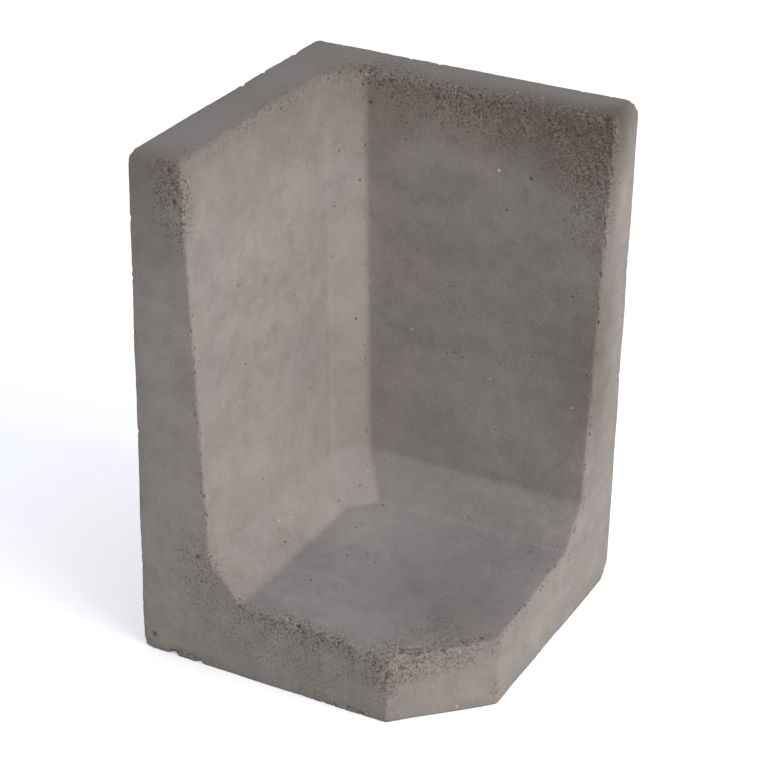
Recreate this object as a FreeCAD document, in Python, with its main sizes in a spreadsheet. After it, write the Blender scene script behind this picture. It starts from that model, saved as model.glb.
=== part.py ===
import FreeCAD, Part
import os
import Sketcher

# Corner element of an L-shaped retaining wall, cast in one piece of concrete.
#
# Two walls stand at a right angle on one foot slab. Their outer faces are flat
# and upright, and their inner faces taper. A haunch joins each wall to the
# foot, and a bevelled strip with a haunch of its own fills the inner corner.
# The foot falls away from both walls, so that its two slopes meet in a valley
# on the diagonal, and its front corner is cut off.
#
# The frame: +Z up, base on z = 0, origin in the middle of the square that the
# outer faces and the two ends bound. The outer corner is at -X +Y, and the cut
# corner of the foot at +X -Y. Everything is in millimetres.

SIZES = {
    # Overall
    "wall_height": 600,
    "leg_length": 400,
    # Section of a leg: reaches from its outer face, levels above its base
    "top_thickness": 65,
    "haunch_top_reach": 92,
    "haunch_top_level": 140,
    "haunch_foot_reach": 130,
    "haunch_foot_level": 96,
    "toe_height": 79,
    # Strip across the inner corner: its legs on the walls and at the foot
    "strip_leg": 32,
    "strip_foot_leg": 28,
    # Front corner of the foot
    "corner_cut": 90,
    # Radii that the mould gives the hollow and the standing edges
    "hollow_radius": 12,
    "top_arris_radius": 10,
    "end_arris_radius": 5,
    "outer_arris_radius": 2.5,
}
NEAR = 0.01

doc = FreeCAD.newDocument("corner_wall")
sheet = doc.addObject("Spreadsheet::Sheet", "sizes")
for row, (alias, value) in enumerate(SIZES.items(), start=1):
    sheet.set(f"A{row}", alias)
    sheet.set(f"B{row}", str(value))
    sheet.setAlias(f"B{row}", alias)
doc.recompute()

body = doc.addObject("PartDesign::Body", "corner_wall_element")
body.Label = "corner_wall_element"


# ---- Ways of drawing --------------------------------------------------------
def lay_on(item, role, turn, base):
    """Lay a sketch or datum plane on a base plane of the body, turned and moved."""
    plane = next(each for each in body.Origin.OriginFeatures if each.Role == role)
    item.AttachmentSupport = [(plane, "")]
    item.MapMode = "FlatFace"
    item.AttachmentOffset = FreeCAD.Placement(FreeCAD.Vector(), turn)
    for axis, expression in base.items():
        item.setExpression(f"AttachmentOffset.Base.{axis}", expression)


def closed_outline(name, role, turn, base, corners):
    """A sketch of straight sides through corners, each a pair of expressions.

    A corner is held by its distances from the sketch's origin, or by the axis
    that it lies on where one of them is "0".
    """
    sketch = body.newObject("Sketcher::SketchObject", name)
    lay_on(sketch, role, turn, base)
    spots = []
    for corner in corners:
        across, up = (float(sketch.evalExpression(each)) for each in corner)
        spots.append(FreeCAD.Vector(across, up, 0))
    ends = spots[1:] + spots[:1]
    for spot, end in zip(spots, ends):
        sketch.addGeometry(Part.LineSegment(spot, end), False)
    for side in range(len(corners)):
        following = (side + 1) % len(corners)
        sketch.addConstraint(Sketcher.Constraint("Coincident", side, 2, following, 1))
    horizontal_axis, vertical_axis = -1, -2
    for side, (across, up) in enumerate(corners):
        for kind, expression, axis in (
            ("DistanceX", across, vertical_axis),
            ("DistanceY", up, horizontal_axis),
        ):
            if expression == "0":
                rule = Sketcher.Constraint("PointOnObject", side, 1, axis)
                sketch.addConstraint(rule)
                continue
            value = float(sketch.evalExpression(expression))
            rule = Sketcher.Constraint(kind, -1, 1, side, 1, value)
            held = sketch.addConstraint(rule)
            sketch.setExpression(f"Constraints[{held}]", expression)
    return sketch


def rounded(name, base, alias, wanted):
    """Round every edge of a feature whose middle point wanted() picks."""
    doc.recompute()
    edges = []
    for number, edge in enumerate(base.Shape.Edges, start=1):
        middle = edge.valueAt((edge.FirstParameter + edge.LastParameter) / 2)
        if wanted(middle):
            edges.append(f"Edge{number}")
    fillet = body.newObject("PartDesign::Fillet", name)
    fillet.Base = (base, edges)
    fillet.setExpression("Radius", f"sizes.{alias}")
    doc.recompute()
    return fillet


STRAIGHT = FreeCAD.Rotation()
HALF = "sizes.leg_length / 2"

# ---- Where a point lies -----------------------------------------------------
side = float(sheet.leg_length) / 2
height = float(sheet.wall_height)
cut_line = 2 * side - float(sheet.corner_cut)


def on_an_outer_face(point):
    return abs(point.x + side) < NEAR or abs(point.y - side) < NEAR


def on_an_end(point):
    return abs(point.x - side) < NEAR or abs(point.y + side) < NEAR


def on_the_cut(point):
    return abs(point.x - point.y - cut_line) < NEAR


def on_the_top(point):
    return abs(point.z - height) < NEAR


def on_the_base(point):
    return abs(point.z) < NEAR


# ---- One leg ----------------------------------------------------------------
# An L section drawn out along its wall. The front corner of its foot is cut
# off, and then the edges round its end, its toe and the cut are rounded.
leg_section = closed_outline(
    "leg_section",
    "XZ_Plane",
    STRAIGHT,
    {"x": f"-{HALF}", "z": f"-{HALF}"},
    [
        ("0", "0"),
        ("sizes.leg_length", "0"),
        ("sizes.leg_length", "sizes.toe_height"),
        ("sizes.haunch_foot_reach", "sizes.haunch_foot_level"),
        ("sizes.haunch_top_reach", "sizes.haunch_top_level"),
        ("sizes.top_thickness", "sizes.wall_height"),
        ("0", "sizes.wall_height"),
    ],
)
leg = body.newObject("PartDesign::Pad", "leg")
leg.Profile = leg_section
leg.setExpression("Length", "sizes.leg_length")
doc.recompute()

QUARTER_TURN = FreeCAD.Rotation(FreeCAD.Vector(0, 0, 1), 90)
cut_outline = closed_outline(
    "cut_outline",
    "XY_Plane",
    QUARTER_TURN,
    {"x": HALF, "y": f"-{HALF}"},
    [("0", "0"), ("sizes.corner_cut", "0"), ("0", "sizes.corner_cut")],
)
corner_cut = body.newObject("PartDesign::Pocket", "corner_cut")
corner_cut.Profile = cut_outline
corner_cut.Type = "ThroughAll"
corner_cut.Reversed = True


def edge_of_the_end_toe_or_cut(middle):
    kept_sharp = on_an_outer_face(middle) or on_the_top(middle) or on_the_base(middle)
    return (on_an_end(middle) or on_the_cut(middle)) and not kept_sharp


leg_rounded = rounded(
    "leg_rounded", corner_cut, "end_arris_radius", edge_of_the_end_toe_or_cut
)

# ---- The other leg ----------------------------------------------------------
# The mirror image of the first in the upright plane through the diagonal.
TO_DIAGONAL = FreeCAD.Rotation(FreeCAD.Vector(0, 1, 0), -45)
diagonal = body.newObject("PartDesign::Plane", "diagonal")
lay_on(diagonal, "XZ_Plane", TO_DIAGONAL, {})
other_leg = body.newObject("PartDesign::Mirrored", "other_leg")
other_leg.TransformMode = "Whole shape"
other_leg.MirrorPlane = (diagonal, [""])
body.Tip = other_leg
doc.recompute()

# ---- Strip across the inner corner ------------------------------------------
# Drawn on the diagonal plane, outwards from the outer corner, and padded to
# both sides until its ends are inside the walls. It goes on down inside the
# foot at the slope of its haunch.
TOP_OUT = "(2 * sizes.top_thickness + sizes.strip_leg) / sqrt(2)"
HAUNCH_OUT = "(2 * sizes.haunch_top_reach + sizes.strip_leg) / sqrt(2)"
FOOT_OUT = "(2 * sizes.haunch_foot_reach + sizes.strip_foot_leg) / sqrt(2)"
HAUNCH_DROP = "(sizes.haunch_top_level - sizes.haunch_foot_level)"
SLOPE = f"({FOOT_OUT} - {HAUNCH_OUT}) / {HAUNCH_DROP}"
ROOT_OUT = f"{FOOT_OUT} + {SLOPE} * (sizes.haunch_foot_level - sizes.toe_height)"

strip_section = closed_outline(
    "strip_section",
    "XZ_Plane",
    TO_DIAGONAL,
    {"x": f"-{HALF}", "z": f"-{HALF}"},
    [
        ("sizes.top_thickness", "sizes.toe_height"),
        (ROOT_OUT, "sizes.toe_height"),
        (HAUNCH_OUT, "sizes.haunch_top_level"),
        (TOP_OUT, "sizes.wall_height"),
        ("sizes.top_thickness", "sizes.wall_height"),
    ],
)
strip = body.newObject("PartDesign::Pad", "strip")
strip.Profile = strip_section
strip.Midplane = True
strip.setExpression("Length", "2 * sizes.strip_leg")

# ---- Roundings of the whole -------------------------------------------------
reach_of_arris = float(sheet.end_arris_radius) + NEAR


def hollow_edge(middle):
    """Inside the corner, clear of the top and of the rounded ends and cut."""
    inward = side - reach_of_arris
    clear_of_ends = middle.x < inward and middle.y > -inward
    clear_of_cut = middle.x - middle.y < cut_line - 2 * reach_of_arris
    on_the_outside = on_an_outer_face(middle) or on_the_base(middle)
    return clear_of_ends and clear_of_cut and not (on_the_top(middle) or on_the_outside)


def inner_edge_of_the_top(middle):
    return on_the_top(middle) and not (on_an_end(middle) or on_an_outer_face(middle))


def edge_of_an_outer_face(middle):
    return on_an_outer_face(middle) and not on_the_base(middle)


hollows_rounded = rounded("hollows_rounded", strip, "hollow_radius", hollow_edge)
top_rounded = rounded(
    "top_rounded", hollows_rounded, "top_arris_radius", inner_edge_of_the_top
)
outside_rounded = rounded(
    "outside_rounded", top_rounded, "outer_arris_radius", edge_of_an_outer_face
)

# ---- Check and write --------------------------------------------------------
body.Placement = FreeCAD.Placement()
doc.recompute()
for item in doc.Objects:
    if "Invalid" in item.State or "Error" in item.State:
        raise RuntimeError(f"{item.Label} failed: {item.State}")
shape = body.Shape
if shape.isNull() or not shape.isValid() or len(shape.Solids) != 1:
    raise RuntimeError(f"{body.Label} is not one valid solid")
if corner_cut.Shape.Volume >= leg.Shape.Volume:
    raise RuntimeError("the front corner was not cut")

os.makedirs("parts", exist_ok=True)
shape.exportStep(f"parts/{body.Label}.step")
print(f"{body.Label}: {shape.Volume / 1e6:.2f} litres, {len(shape.Faces)} faces")
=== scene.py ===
import random
from math import cos, radians, sin

import bmesh
import bpy
from mathutils import Matrix, Vector, kdtree, noise


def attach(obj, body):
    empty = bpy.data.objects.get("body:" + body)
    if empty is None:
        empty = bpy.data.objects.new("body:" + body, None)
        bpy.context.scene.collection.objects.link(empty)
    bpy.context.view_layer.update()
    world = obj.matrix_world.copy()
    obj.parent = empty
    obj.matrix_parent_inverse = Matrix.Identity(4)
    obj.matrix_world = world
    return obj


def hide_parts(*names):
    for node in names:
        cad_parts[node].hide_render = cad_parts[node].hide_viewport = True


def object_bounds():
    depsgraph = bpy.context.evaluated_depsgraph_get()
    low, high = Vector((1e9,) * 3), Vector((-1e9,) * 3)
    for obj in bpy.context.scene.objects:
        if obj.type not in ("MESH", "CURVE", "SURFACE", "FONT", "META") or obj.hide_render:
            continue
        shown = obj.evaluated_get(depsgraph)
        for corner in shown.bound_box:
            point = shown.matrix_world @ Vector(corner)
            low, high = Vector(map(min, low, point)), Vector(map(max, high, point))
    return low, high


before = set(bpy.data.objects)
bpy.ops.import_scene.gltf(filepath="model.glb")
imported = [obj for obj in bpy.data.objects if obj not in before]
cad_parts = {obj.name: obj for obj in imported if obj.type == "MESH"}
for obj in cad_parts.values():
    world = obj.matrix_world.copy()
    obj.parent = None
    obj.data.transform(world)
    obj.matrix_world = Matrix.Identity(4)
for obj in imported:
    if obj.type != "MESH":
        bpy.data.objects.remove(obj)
cad_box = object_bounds()

# ---------------------------------------------------------------------------------------------
# The casting. The real element is one piece of concrete, most likely a dry mix that was pressed
# in a mould. Its arrises are soft, crumbly and pitted, its flat faces are dense, and a few of its
# corners are blunt. Nothing else is fixed to it.

random.seed(7)
low, high = cad_box
MM = 0.001

# how fine the mesh is: on the flat faces, near an arris, where it crumbles, and in a void
square = 5.5 * MM
shortest_edge = 0.8 * MM
edge_near_arris = 3.6 * MM
edge_in_crumbling = 2.4 * MM
edges_in_void = (3.0 * MM, 1.6 * MM)
band_along_arris = 7 * MM

element = bmesh.new()
element.from_mesh(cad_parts["corner_wall_element"].data)
bmesh.ops.remove_doubles(element, verts=element.verts, dist=0.001 * MM)
bmesh.ops.dissolve_limit(
    element, angle_limit=radians(0.3), verts=element.verts, edges=element.edges
)


def points_along_arrises(mesh, spacing, least_turn):
    """Points every so often along the edges where two faces turn away from each other."""
    points = []
    for edge in mesh.edges:
        if edge.calc_face_angle_signed(0.0) < least_turn:
            continue
        start, end = (vert.co for vert in edge.verts)
        steps = max(1, round(edge.calc_length() / spacing))
        points += [start.lerp(end, step / steps) for step in range(steps + 1)]
    return points


def search_tree(points):
    """The points arranged so that the nearest one to any place is found quickly."""
    tree = kdtree.KDTree(len(points))
    for index, point in enumerate(points):
        tree.insert(point, index)
    tree.balance()
    return tree


arris_points = points_along_arrises(element, 3 * MM, radians(2.5))
arrises = search_tree(arris_points)


def slice_into_squares(mesh, spacing):
    """Cuts the faces by evenly spaced planes across each axis, which leaves the shape as it is."""
    for axis in range(3):
        across = [0.0, 0.0, 0.0]
        across[axis] = 1.0
        cuts = round((high[axis] - low[axis]) / spacing)
        for cut in range(1, cuts):
            place = [0.0, 0.0, 0.0]
            place[axis] = low[axis] + (high[axis] - low[axis]) * cut / cuts
            everything = mesh.verts[:] + mesh.edges[:] + mesh.faces[:]
            bmesh.ops.bisect_plane(
                mesh, geom=everything, dist=0.0001 * MM, plane_co=place, plane_no=across
            )


def pairs_to_merge(mesh, shortest):
    """The ends of the shortest edges, as far as they can merge and leave the skin closed.

    That holds where the two ends share just the two corners across from their edge, and where
    nothing next to them merges at the same time.
    """
    pairs = {}
    settled = set()
    short_edges = [edge for edge in mesh.edges if edge.calc_length() < shortest]
    for edge in sorted(short_edges, key=lambda each: each.calc_length()):
        kept, drawn = edge.verts
        if kept in settled or drawn in settled:
            continue
        around_kept = {each.other_vert(kept) for each in kept.link_edges}
        around_drawn = {each.other_vert(drawn) for each in drawn.link_edges}
        if len(around_kept & around_drawn) == 2:
            pairs[drawn] = kept
            settled |= around_kept | around_drawn
    return pairs


def merge_short_edges(mesh, shortest):
    """Makes the faces triangles and merges the ends of their shortest edges."""
    bmesh.ops.triangulate(mesh, faces=mesh.faces)
    pairs = pairs_to_merge(mesh, shortest)
    while pairs:
        bmesh.ops.weld_verts(mesh, targetmap=pairs)
        pairs = pairs_to_merge(mesh, shortest)


slice_into_squares(element, square)
merge_short_edges(element, shortest_edge)


def refine(mesh, longest, wanted):
    """Halves the edges longer than a length wherever their middle is wanted finer."""
    long_edges = [
        edge
        for edge in mesh.edges
        if edge.calc_length() > longest and wanted((edge.verts[0].co + edge.verts[1].co) / 2)
    ]
    bmesh.ops.subdivide_edges(mesh, edges=long_edges, cuts=1, use_grid_fill=True)


def soft_step(value):
    """Rises smoothly from 0 to 1 as the value goes from 0 to 1."""
    value = min(1.0, max(0.0, value))
    return value * value * (3 - 2 * value)


# Broad marks: where the middle of each is, how far it reaches along each axis, all in
# millimetres, and how strong it is. The darker areas are partly stains and partly painted shade,
# the paler ones are painted light, and the crumbling is where the surface is open and its grit
# shows.
stains_and_painted_shade = [
    # the tops of both walls, and the inside of the right wall, which the lamp only grazes: there
    # the darkness is partly stain and partly painted shade
    (170, 130, 590, 220, 60, 190, 0.8),
    (-20, 135, 600, 170, 60, 90, 0.35),
    (190, 130, 330, 160, 60, 240, 0.65),
    (30, 130, 400, 170, 60, 190, 0.25),
    (200, 170, 600, 40, 60, 130, 0.4),
    (200, 150, 340, 40, 90, 230, 0.1),
    (-170, -200, 600, 70, 60, 190, 0.3),
    # the foot behind its cut corner, and its right-hand side
    (110, -110, 84, 170, 170, 60, 0.3),
    (150, -20, 80, 150, 190, 60, 0.15),
]
painted_light_patches = [
    # painted light: paler down in the inner corner and along the foot of the left wall, where it
    # lifts the shade that falls there
    (-75, 75, 110, 150, 150, 170, 0.4),
    (-20, 20, 80, 150, 150, 60, 0.2),
    (-105, -80, 190, 60, 150, 150, 0.25),
    (-115, 115, 330, 60, 60, 230, 0.35),
]
crumbling = [
    # the tops of the walls
    (-145, -198, 560, 40, 30, 75, 1.2),
    (50, 140, 588, 260, 45, 75, 1.0),
    (180, 134, 540, 70, 40, 150, 1.0),
    (-134, -20, 595, 30, 220, 30, 0.6),
    (-90, 150, 598, 60, 60, 25, 1.1),
    # the front of the foot and its cut corner
    (112, -190, 70, 60, 40, 60, 0.9),
    (155, -150, 74, 90, 90, 40, 0.9),
    (10, -200, 84, 150, 25, 28, 0.9),
    (0, -200, 50, 210, 25, 80, 0.55),
    (-125, -200, 120, 50, 25, 80, 0.8),
    # the bottom edge
    (-150, -200, 4, 90, 25, 14, 0.9),
    (60, -200, 2, 120, 25, 14, 0.8),
]


def strength_at(place, marks):
    """How strong the marks are at a place, fading out to the edge of each."""
    total = 0.0
    for x, y, z, along_x, along_y, along_z, strength in marks:
        away = Vector(
            (
                (place.x / MM - x) / along_x,
                (place.y / MM - y) / along_y,
                (place.z / MM - z) / along_z,
            )
        )
        total += strength * soft_step(1 - away.length)
    return total


refine(element, edge_near_arris, lambda middle: arrises.find(middle)[2] < band_along_arris)
refine(element, edge_in_crumbling, lambda middle: strength_at(middle, crumbling) > 0.45)

# Knocks and pits that are large enough to see: roughly where each one is, how far it reaches and
# how deep it goes, in millimetres.
knocks = [
    # the tops of the walls
    (-100, 145, 600, 7, 3.2),
    (-15, 135, 585, 5, 1.6),
    (50, 140, 595, 5, 1.8),
    (185, 140, 595, 8, 2.4),
    (-145, -200, 555, 5, 2.0),
    (-150, -200, 590, 5, 1.8),
    (-200, 30, 600, 7, 1.6),
    (-200, 75, 600, 6, 1.4),
    (-200, 145, 600, 7, 1.6),
    # the front edge of the foot and the cut corner
    (110, -200, 60, 8, 3.2),
    (115, -175, 85, 6, 2.2),
    (180, -115, 85, 5, 1.6),
    (0, -200, 90, 6, 2.0),
    (40, -200, 90, 5, 1.8),
    # the bottom edge
    (-160, -200, 0, 8, 4.5),
    (-125, -200, 0, 6, 3.5),
    (-185, -200, 20, 7, 1.6),
    # the faces of the walls and the foot
    (105, 130, 515, 4, 1.4),
    (70, 75, 105, 4, 1.3),
    (-125, -200, 140, 5, 1.4),
]
voids = [
    (Vector((x, y, z)) * MM, reach * MM, depth * MM)
    for x, y, z, reach, depth in knocks
]
small_voids = 90
furthest_reach = 12 * MM
for _ in range(small_voids):
    place = random.choice(arris_points)
    voids.append((place, random.uniform(2.2, 4.2) * MM, random.uniform(0.6, 1.6) * MM))
void_places = search_tree([place for place, reach, depth in voids])
for finest in edges_in_void:
    refine(
        element,
        finest,
        lambda middle: any(
            distance < voids[index][1] * 1.3
            for place, index, distance in void_places.find_range(middle, furthest_reach)
        ),
    )
element.normal_update()

# How deep the surface is uneven all over, how far wear reaches from an arris, and the height
# below which a face that looks up belongs to the foot
mould_waves = 0.3 * MM
pressed_grain = 0.22 * MM
wear_reach = 16 * MM
top_of_foot = 105 * MM

arris_mark = element.verts.layers.float.new("arris")
void_mark = element.verts.layers.float.new("void")
# the darker broad marks, partly stains and partly painted shade
stain_and_shade_mark = element.verts.layers.float.new("stain")
# the paler broad marks, which are painted light
painted_light_mark = element.verts.layers.float.new("painted_light")
pitting_mark = element.verts.layers.float.new("pitting")
facing_up_mark = element.verts.layers.float.new("facing_up")
for vert in element.verts:
    place = vert.co.copy()
    nearness = soft_step(1 - arrises.find(place)[2] / wear_reach)
    vert[arris_mark] = nearness
    vert[stain_and_shade_mark] = strength_at(place, stains_and_painted_shade)
    # how much each face looks up, for the painted cool light from above
    vert[facing_up_mark] = soft_step(2.5 * vert.normal.z - 1.5)
    # painted shade: the slope of the foot below the right wall, which tilts away from the lamp, is
    # a little darker than the other one
    if vert.normal.z > 0.95 and place.z < top_of_foot:
        vert[stain_and_shade_mark] += 0.08 * soft_step(0.5 + (place.x + place.y) / (12 * MM))
    vert[painted_light_mark] = strength_at(place, painted_light_patches)
    pitting = min(1.0, 0.1 + strength_at(place, crumbling))
    vert[pitting_mark] = pitting
    on_base = place.z < 0.01 * MM and vert.normal.z < -0.9
    # long waves and a fine unevenness over every face but the base
    waves = mould_waves * (0.5 + 0.5 * noise.noise(place * 11))
    grain = pressed_grain * (0.5 + 0.5 * noise.noise(place * 75 + Vector((3, 1, 7))))
    # crumbled arrises: a little everywhere, and more in patches
    patch = soft_step(0.5 + 1.6 * noise.noise(place * 14 + Vector((5, 9, 2))))
    crumbs = 0.5 + 0.5 * noise.noise(place * 95)
    crumbled = nearness * (0.05 + patch * 0.3 + crumbs * (0.2 + 0.7 * patch)) * MM
    pit = soft_step(3.2 * noise.noise(place * 230 + Vector((8, 2, 4))) - 0.35) * pitting
    vert[void_mark] = 0.75 * pit
    crumbled += (0.9 * pit + 0.3 * pitting * noise.noise(place * 140)) * MM
    depth = crumbled if on_base else waves + grain + crumbled
    # the knocks and voids, with a ragged outline
    for _, index, distance in void_places.find_range(place, furthest_reach):
        _, reach, deepest = voids[index]
        raggedness = 1 + 0.35 * noise.noise(place * 260)
        share = soft_step(1.25 * (1 - distance / reach * raggedness))
        depth += deepest * share
        vert[void_mark] = max(vert[void_mark], share)
    vert.co = place - vert.normal * depth

# Four corners are blunt: the corner, which way it is pushed in, how far round
# and how deep, in millimetres.
blunt_corners = [
    (Vector((high.x, high.y, high.z)), Vector((-1, -1, -1)), 19, 3),
    (Vector((low.x, low.y, high.z)), Vector((1, 1, -1)), 16, 1),
    (Vector((high.x, high.y, low.z)), Vector((-1, -1, 1)), 22, 4),
    (Vector((low.x, low.y, low.z)), Vector((1, 1, 1)), 16, 2.5),
]
for corner, inwards, around, deepest in blunt_corners:
    for vert in element.verts:
        share = soft_step(1 - (vert.co - corner).length / (around * MM))
        vert.co += inwards.normalized() * share * deepest * MM

for vert in element.verts:
    vert.co = Vector(min(max(value, a), b) for value, a, b in zip(vert.co, low, high))

casting_mesh = bpy.data.meshes.new("concrete_casting")
element.to_mesh(casting_mesh)
element.free()
casting_mesh.shade_smooth()
casting = bpy.data.objects.new("concrete_casting", casting_mesh)
bpy.context.scene.collection.objects.link(casting)


def srgb(red, green, blue):
    """A colour given in the usual 0 to 255 steps, as the linear colour that a shader takes."""
    linear = []
    for value in (red / 255, green / 255, blue / 255):
        if value <= 0.04045:
            linear.append(value / 12.92)
        else:
            linear.append(((value + 0.055) / 1.055) ** 2.4)
    return (*linear, 1.0)


def add_node(tree, kind, inputs=None, **settings):
    """Adds a node, sets its properties, and fills its inputs with numbers or other outputs."""
    node = tree.nodes.new(kind)
    for name, value in settings.items():
        setattr(node, name, value)
    for name, value in (inputs or {}).items():
        if isinstance(value, bpy.types.NodeSocket):
            tree.links.new(value, node.inputs[name])
        else:
            node.inputs[name].default_value = value
    return node


def noise_of(tree, place, scale, detail=2.0, roughness=0.5):
    """A cloudy value about 0.5 over the surface; the scale is in clouds per metre."""
    clouds = {"Vector": place, "Scale": scale, "Detail": detail, "Roughness": roughness}
    return add_node(tree, "ShaderNodeTexNoise", clouds).outputs["Fac"]


def ramp(tree, value, start, end, low_value=0.0, high_value=1.0):
    """Carries a value that goes from start to end over to low_value to high_value, smoothly."""
    inputs = {
        "Value": value,
        "From Min": start,
        "From Max": end,
        "To Min": low_value,
        "To Max": high_value,
    }
    node = add_node(tree, "ShaderNodeMapRange", inputs, interpolation_type="SMOOTHSTEP")
    return node.outputs["Result"]


def maths(tree, operation, first, second):
    """One sum, product or comparison of two values."""
    return add_node(tree, "ShaderNodeMath", {0: first, 1: second}, operation=operation).outputs[0]


def tint(tree, share, under, over, blend="MIX"):
    """Lays one colour over another by a share from 0 to 1."""
    inputs = {0: share, 6: under, 7: over}
    node = add_node(tree, "ShaderNodeMix", inputs, data_type="RGBA", blend_type=blend)
    return node.outputs[2]


concrete = bpy.data.materials.new("cast_concrete")
concrete.use_nodes = True
tree = concrete.node_tree
shader = tree.nodes["Principled BSDF"]
place = add_node(tree, "ShaderNodeTexCoord").outputs["Object"]
height = add_node(tree, "ShaderNodeSeparateXYZ", {"Vector": place}).outputs["Z"]
arris = add_node(tree, "ShaderNodeAttribute", attribute_name="arris").outputs["Fac"]
hollow = add_node(tree, "ShaderNodeAttribute", attribute_name="void").outputs["Fac"]

# cement paste: clouds of warmer and cooler grey, and fainter lying bands
bands_place = add_node(
    tree, "ShaderNodeMapping", {"Vector": place, "Scale": (1.0, 1.0, 3.2)}
).outputs["Vector"]
clouds = noise_of(tree, place, 9, 4, 0.6)
bands = noise_of(tree, bands_place, 6, 3, 0.55)
mottle = noise_of(tree, place, 42, 3, 0.6)
colour = tint(tree, ramp(tree, clouds, 0.3, 0.7), srgb(129, 125, 122), srgb(138, 132, 126))
colour = tint(tree, ramp(tree, bands, 0.42, 0.68, 0.0, 0.5), colour, srgb(123, 118, 112))
colour = tint(tree, ramp(tree, mottle, 0.45, 0.75, 0.0, 0.5), colour, srgb(146, 141, 135))
colour = tint(tree, ramp(tree, mottle, 0.5, 0.28, 0.0, 0.5), colour, srgb(118, 113, 107))

# sand grain
sand = noise_of(tree, place, 420, 2, 0.7)
colour = tint(tree, ramp(tree, sand, 0.5, 0.8, 0.0, 0.4), colour, srgb(158, 152, 144))
colour = tint(tree, ramp(tree, sand, 0.5, 0.25, 0.0, 0.4), colour, srgb(104, 99, 93))

# the darker band along the tops of the walls
stain_edge = noise_of(tree, place, 8, 4, 0.65)
stain_height = maths(tree, "ADD", height, maths(tree, "MULTIPLY", stain_edge, 0.16))
stain = ramp(tree, stain_height, 0.56, 0.70, 0.0, 0.6)
colour = tint(tree, stain, colour, srgb(106, 98, 86))

# the broad marks: the darker ones are partly stains and partly painted shade, the paler ones are
# painted light
marks_edge = ramp(tree, noise_of(tree, place, 11, 4, 0.6), 0.25, 0.7, 0.7, 1.15)
stain_and_shade_share = add_node(tree, "ShaderNodeAttribute", attribute_name="stain").outputs["Fac"]
painted_light_share = add_node(tree, "ShaderNodeAttribute", attribute_name="painted_light").outputs["Fac"]
stained_and_shaded = maths(tree, "MULTIPLY", stain_and_shade_share, marks_edge)
painted_light_amount = maths(tree, "MULTIPLY", painted_light_share, marks_edge)
colour = tint(tree, stained_and_shaded, colour, srgb(168, 163, 156), "MULTIPLY")
# painted light from the paler broad marks
colour = tint(tree, painted_light_amount, colour, srgb(172, 166, 158))

# painted light: the faces that look up are a cooler grey, as under bluish light from above
painted_skylight_tint = (0.98, 0.99, 1.05, 1.0)
facing_up = add_node(tree, "ShaderNodeAttribute", attribute_name="facing_up").outputs["Fac"]
colour = tint(tree, facing_up, colour, painted_skylight_tint, "MULTIPLY")

# dark crumbled arrises, in patches
patches = noise_of(tree, place, 14, 3, 0.6)
patchy = ramp(tree, patches, 0.38, 0.62, 0.15, 1.0)
crumbled = maths(tree, "MULTIPLY", arris, patchy)
colour = tint(tree, maths(tree, "MULTIPLY", crumbled, 0.15), colour, srgb(104, 97, 87))

# open grit where the arrises crumble: fine pits darkened with painted shade, and paler grains
# close together
pitting = add_node(tree, "ShaderNodeAttribute", attribute_name="pitting").outputs["Fac"]
open_patches = ramp(tree, noise_of(tree, place, 45, 3, 0.6), 0.3, 0.55, 0.25, 1.0)
open_grit = maths(tree, "MULTIPLY", pitting, open_patches)
specks = noise_of(tree, place, 430, 2, 0.6)
pits = maths(tree, "MULTIPLY", ramp(tree, specks, 0.46, 0.34), open_grit)
grains = maths(tree, "MULTIPLY", ramp(tree, specks, 0.55, 0.68), open_grit)
colour = tint(tree, maths(tree, "MULTIPLY", open_grit, 0.3), colour, srgb(118, 109, 96))
colour = tint(tree, maths(tree, "MULTIPLY", pits, 0.55), colour, srgb(58, 52, 44))
colour = tint(tree, maths(tree, "MULTIPLY", grains, 0.25), colour, srgb(172, 163, 150))

# pores: every cell holds one void of its own size, and only some of the cells, most of them
# near the arrises, keep it open
ragged = add_node(
    tree, "ShaderNodeTexNoise", {"Vector": place, "Scale": 520.0, "Detail": 1.0}
)
ragged_place = add_node(
    tree,
    "ShaderNodeVectorMath",
    {0: ragged.outputs["Color"], 1: (0.0022, 0.0022, 0.0022), 2: place},
    operation="MULTIPLY_ADD",
).outputs["Vector"]
cells = add_node(
    tree, "ShaderNodeTexVoronoi", {"Vector": ragged_place, "Scale": 210.0, "Randomness": 1.0}
)
chance = add_node(tree, "ShaderNodeSeparateColor", {"Color": cells.outputs["Color"]})
open_share = ramp(tree, crumbled, 0.0, 1.0, 0.035, 0.55)
is_open = maths(tree, "LESS_THAN", chance.outputs["Red"], open_share)
pore_size = maths(tree, "MULTIPLY", maths(tree, "POWER", chance.outputs["Green"], 3.0), 0.3)
inside = maths(tree, "SUBTRACT", pore_size, cells.outputs["Distance"])
pores = maths(tree, "MULTIPLY", ramp(tree, inside, -0.12, 0.14), is_open)
shade_in_holes = srgb(62, 56, 48)
colour = tint(tree, maths(tree, "MULTIPLY", pores, 0.75), colour, shade_in_holes)
colour = tint(tree, ramp(tree, hollow, 0.3, 1.0, 0.0, 0.55), colour, shade_in_holes)

# pale grit that shows here and there
grit_cells = add_node(
    tree, "ShaderNodeTexVoronoi", {"Vector": place, "Scale": 30.0, "Randomness": 1.0}
)
grit_chance = add_node(tree, "ShaderNodeSeparateColor", {"Color": grit_cells.outputs["Color"]})
grit_shows = maths(tree, "LESS_THAN", grit_chance.outputs["Red"], 0.3)
grit_size = ramp(tree, grit_chance.outputs["Green"], 0.0, 1.0, 0.02, 0.07)
grit_inside = maths(tree, "SUBTRACT", grit_size, grit_cells.outputs["Distance"])
grit = maths(tree, "MULTIPLY", ramp(tree, grit_inside, -0.01, 0.02), grit_shows)
colour = tint(tree, maths(tree, "MULTIPLY", grit, 0.7), colour, srgb(186, 176, 160))

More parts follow.
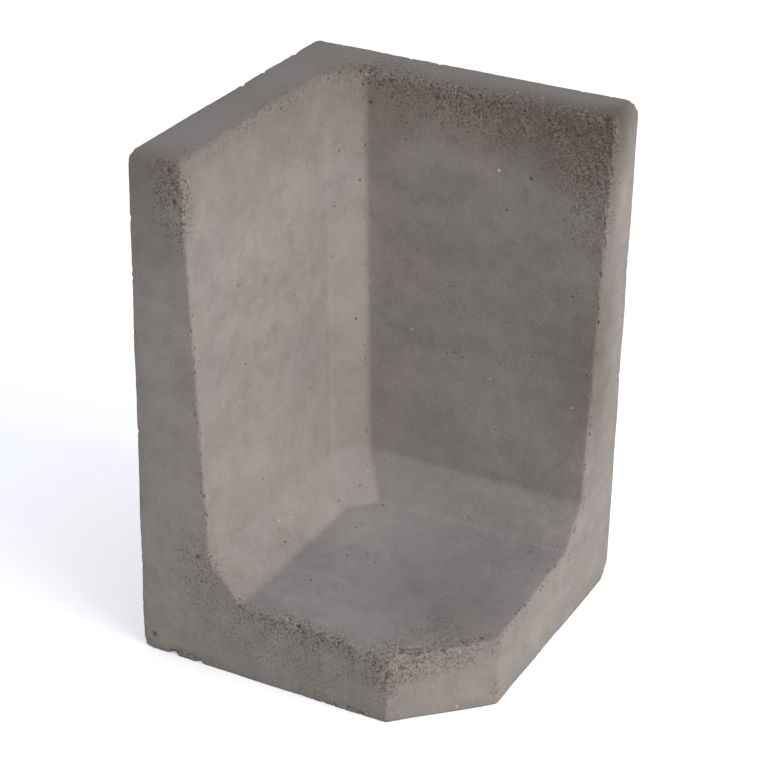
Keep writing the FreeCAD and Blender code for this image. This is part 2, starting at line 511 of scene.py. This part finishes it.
tree.links.new(colour, shader.inputs["Base Color"])
tree.links.new(ramp(tree, mottle, 0.3, 0.7, 0.84, 0.94), shader.inputs["Roughness"])
shader.inputs["Specular IOR Level"].default_value = 0.3

grain_bump = add_node(
    tree, "ShaderNodeBump", {"Strength": 1.0, "Distance": 0.35 * MM, "Height": sand}
)
pore_depth = maths(tree, "MULTIPLY", maths(tree, "ADD", pores, pits), -1.0)
pore_bump = add_node(
    tree,
    "ShaderNodeBump",
    {
        "Strength": 1.0,
        "Distance": 1.0 * MM,
        "Height": pore_depth,
        "Normal": grain_bump.outputs["Normal"],
    },
)
tree.links.new(pore_bump.outputs["Normal"], shader.inputs["Normal"])

casting_mesh.materials.append(concrete)
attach(casting, "root")
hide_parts("corner_wall_element")

# ---------------------------------------------------------------------------------------------
# The studio: a pale floor that takes the element's shadow, soft light from all round, one large
# soft lamp low on the right, which the inner face of the left wall turns towards, and a weaker
# bluish one overhead.

floor_mesh = bpy.data.meshes.new("floor")
floor_shape = bmesh.new()
bmesh.ops.create_circle(floor_shape, cap_ends=True, segments=64, radius=12.0)
floor_shape.to_mesh(floor_mesh)
floor_shape.free()
floor = bpy.data.objects.new("floor", floor_mesh)
bpy.context.scene.collection.objects.link(floor)

pale_floor = bpy.data.materials.new("pale_floor")
pale_floor.use_nodes = True
floor_tree = pale_floor.node_tree
floor_shader = floor_tree.nodes["Principled BSDF"]
floor_shader.inputs["Base Color"].default_value = (0.86, 0.86, 0.86, 1.0)
floor_shader.inputs["Roughness"].default_value = 0.9
floor_shader.inputs["Specular IOR Level"].default_value = 0.1
floor_shader.inputs["Emission Color"].default_value = (1.0, 1.0, 1.0, 1.0)
seen = add_node(floor_tree, "ShaderNodeLightPath").outputs["Is Camera Ray"]
lift = maths(floor_tree, "MULTIPLY", seen, 0.35)
floor_tree.links.new(lift, floor_shader.inputs["Emission Strength"])
floor_mesh.materials.append(pale_floor)

world = bpy.data.worlds.new("studio")
bpy.context.scene.world = world
world.use_nodes = True
sky = world.node_tree
sky.nodes.clear()
path = add_node(sky, "ShaderNodeLightPath")
shown = maths(sky, "MAXIMUM", path.outputs["Is Camera Ray"], path.outputs["Is Glossy Ray"])
shown = maths(sky, "MAXIMUM", shown, path.outputs["Is Transmission Ray"])
around = add_node(
    sky, "ShaderNodeBackground", {"Color": (0.98, 0.98, 1.02, 1.0), "Strength": 0.63}
)
white = add_node(
    sky, "ShaderNodeBackground", {"Color": (1.0, 1.0, 1.0, 1.0), "Strength": 1.0}
)
either = add_node(
    sky,
    "ShaderNodeMixShader",
    {0: shown, 1: around.outputs["Background"], 2: white.outputs["Background"]},
)
add_node(sky, "ShaderNodeOutputWorld", {"Surface": either.outputs["Shader"]})


def towards(azimuth, elevation):
    """The direction from the element to a place round it: azimuth 0 is in front, -Y."""
    return Vector(
        (
            sin(azimuth) * cos(elevation),
            -cos(azimuth) * cos(elevation),
            sin(elevation),
        )
    )


middle_of_element = Vector((0.0, 0.0, 0.3))
lamp_distance = 2.6
lamp_direction = towards(radians(80), radians(24))
lamp_data = bpy.data.lights.new("soft_lamp", "AREA")
lamp_data.shape = "SQUARE"
lamp_data.size = 2.2
lamp_data.energy = 66.0
lamp_data.color = (1.0, 0.97, 0.93)
lamp = bpy.data.objects.new("soft_lamp", lamp_data)
lamp.location = middle_of_element + lamp_direction * lamp_distance
lamp.rotation_mode = "QUATERNION"
lamp.rotation_quaternion = lamp_direction.to_track_quat("Z", "Y")
bpy.context.scene.collection.objects.link(lamp)

sky_light = bpy.data.lights.new("sky_lamp", "AREA")
sky_light.shape = "SQUARE"
sky_light.size = 3.0
sky_light.energy = 16.0
sky_light.color = (0.75, 0.9, 1.3)
sky_lamp = bpy.data.objects.new("sky_lamp", sky_light)
sky_lamp.location = (0.0, 0.0, 3.2)
bpy.context.scene.collection.objects.link(sky_lamp)

camera_data = bpy.data.cameras.new("camera")
camera_data.sensor_width = 36.0
camera_data.lens = 111.85
camera = bpy.data.objects.new("camera", camera_data)
bpy.context.scene.collection.objects.link(camera)
camera_distance = 2.6315
looked_at = Vector((0.0030, -0.0108, 0.300))
back = towards(radians(27.109), radians(27.531))
side = Vector((0.0, 0.0, 1.0)).cross(back).normalized()
upright = Matrix((side, back.cross(side), back)).transposed()
tilt = Matrix.Rotation(radians(1.12), 3, "Z")
stands_at = Matrix.Translation(looked_at + back * camera_distance)
camera.matrix_world = stands_at @ (upright @ tilt).to_4x4()
bpy.context.scene.camera = camera

bpy.context.scene.view_settings.view_transform = "Standard"
